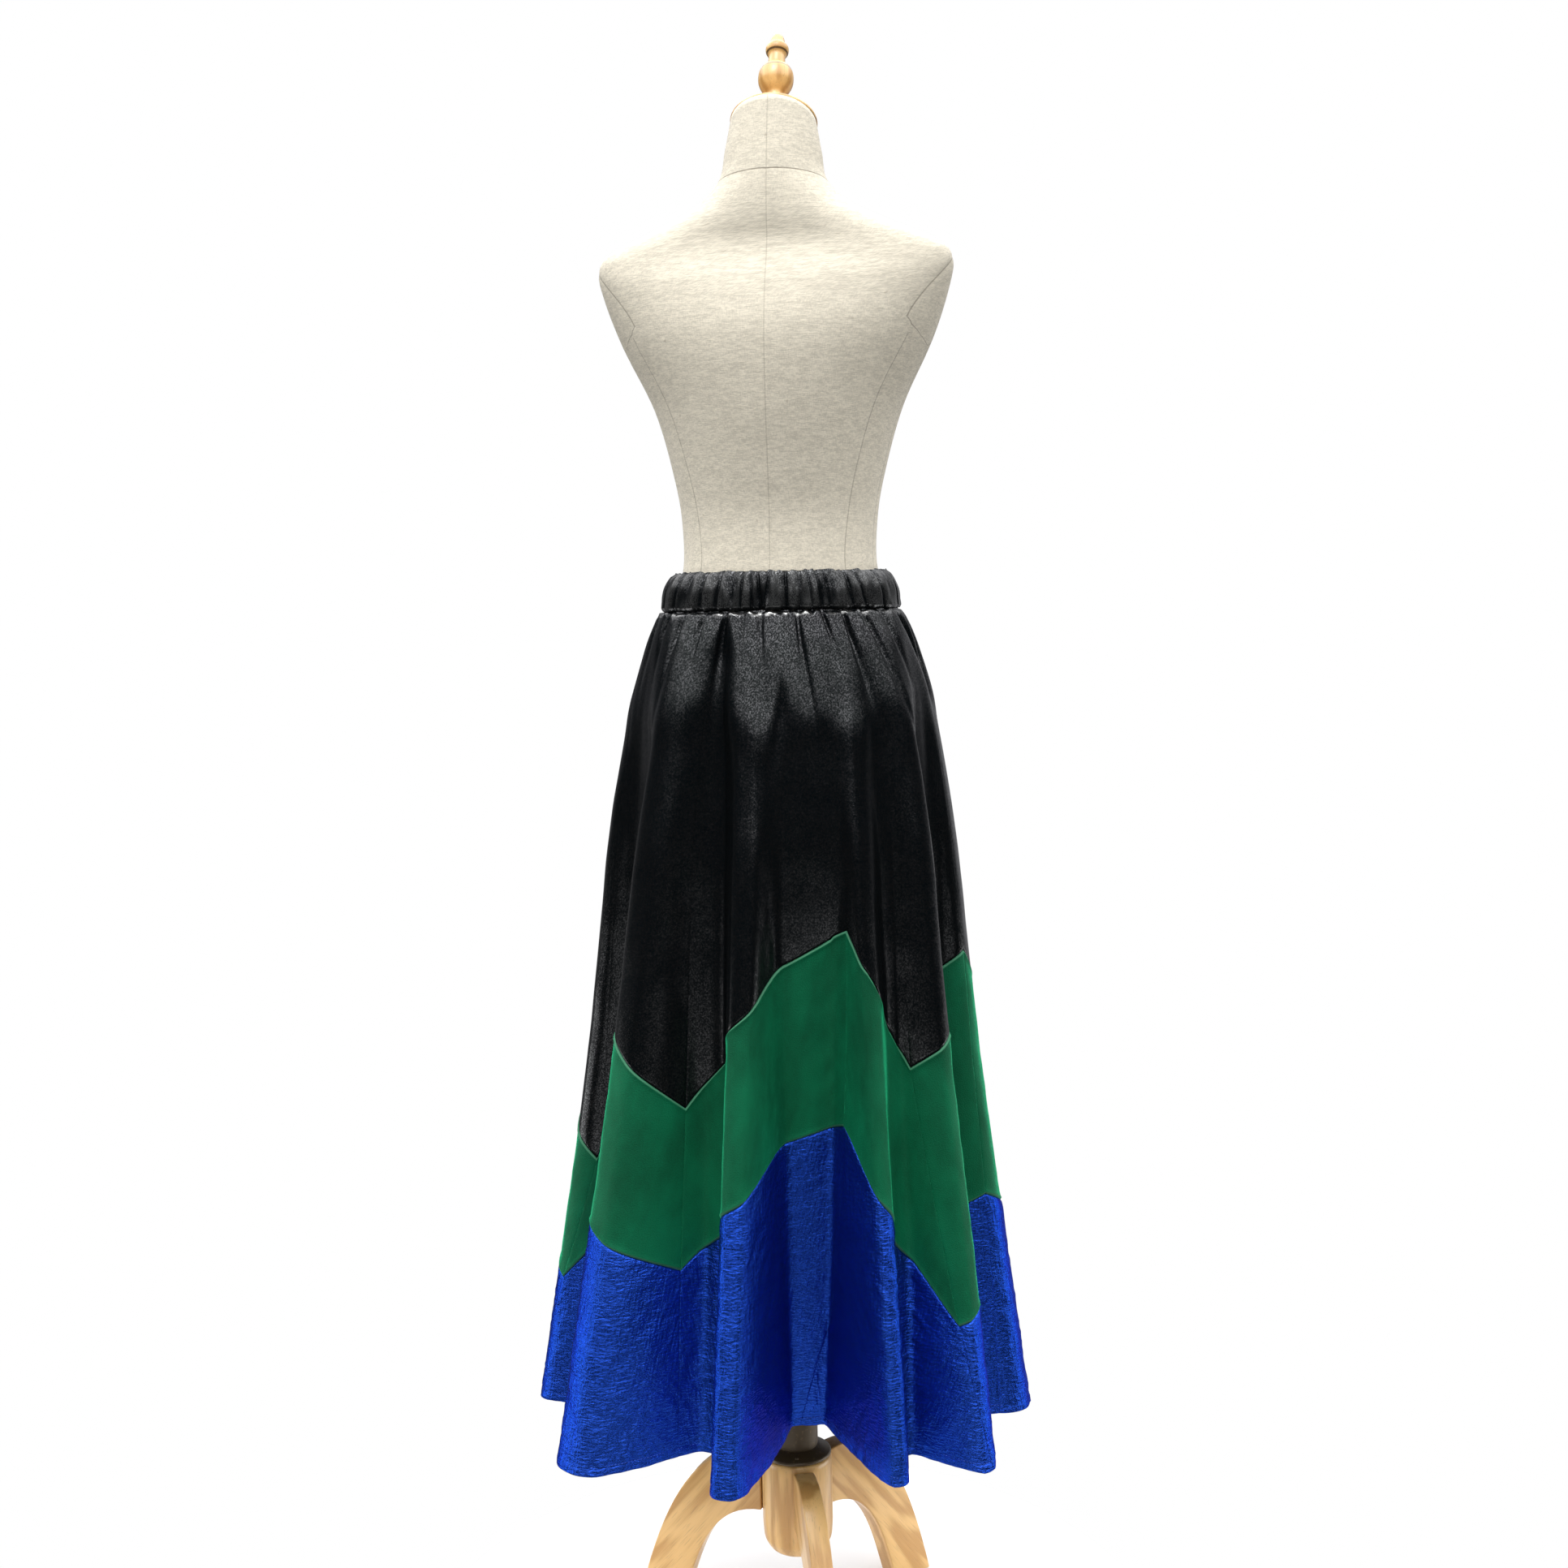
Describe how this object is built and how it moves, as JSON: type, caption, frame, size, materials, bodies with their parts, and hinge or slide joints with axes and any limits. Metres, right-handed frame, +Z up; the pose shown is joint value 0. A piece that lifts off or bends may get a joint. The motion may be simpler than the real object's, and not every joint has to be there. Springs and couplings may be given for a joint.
{
  "type": "flared skirt on a dress form",
  "caption": "Long flared gored skirt with gathered elastic waistband and zigzag colour blocks, worn by a limbless dress form on a wooden tripod.",
  "frame": {"origin": "on the floor under the middle of the skirt's hem outline, near the pole's foot", "axes": "+Z up; the wearer's back faces -Y and the front faces +Y, about 8 degrees round; +X is to the right for someone who looks at the back"},
  "size_m": [0.5518, 0.558, 1.809],
  "materials": {
    "black_cloth": "black satin-backed cloth with a soft sheen",
    "green_velvet": "emerald velvet",
    "blue_satin": "royal blue crinkled satin",
    "linen": "natural linen",
    "pale_wood": "clear varnish",
    "dark_metal": "dark lacquer"
  },
  "bodies": {
    "root": {"base_board": "pale_wood", "black_gore_01": "black_cloth", "black_gore_02": "black_cloth", "black_gore_03": "black_cloth", "black_gore_04": "black_cloth", "black_gore_05": "black_cloth", "black_gore_06": "black_cloth", "black_gore_07": "black_cloth", "black_gore_08": "black_cloth", "black_gore_09": "black_cloth", "black_gore_10": "black_cloth", "blue_gore_01": "blue_satin", "blue_gore_02": "blue_satin", "blue_gore_03": "blue_satin", "blue_gore_04": "blue_satin", "blue_gore_05": "blue_satin", "blue_gore_06": "blue_satin", "blue_gore_07": "blue_satin", "blue_gore_08": "blue_satin", "blue_gore_09": "blue_satin", "blue_gore_10": "blue_satin", "collar": "dark_metal", "finial": "pale_wood", "green_gore_01": "green_velvet", "green_gore_02": "green_velvet", "green_gore_03": "green_velvet", "green_gore_04": "green_velvet", "green_gore_05": "green_velvet", "green_gore_06": "green_velvet", "green_gore_07": "green_velvet", "green_gore_08": "green_velvet", "green_gore_09": "green_velvet", "green_gore_10": "green_velvet", "hub": "pale_wood", "leg_1": "pale_wood", "leg_2": "pale_wood", "leg_3": "pale_wood", "neck_cap": "pale_wood", "pole": "pale_wood", "torso": "linen", "waistband": "black_cloth"}
  },
  "joints": []
}
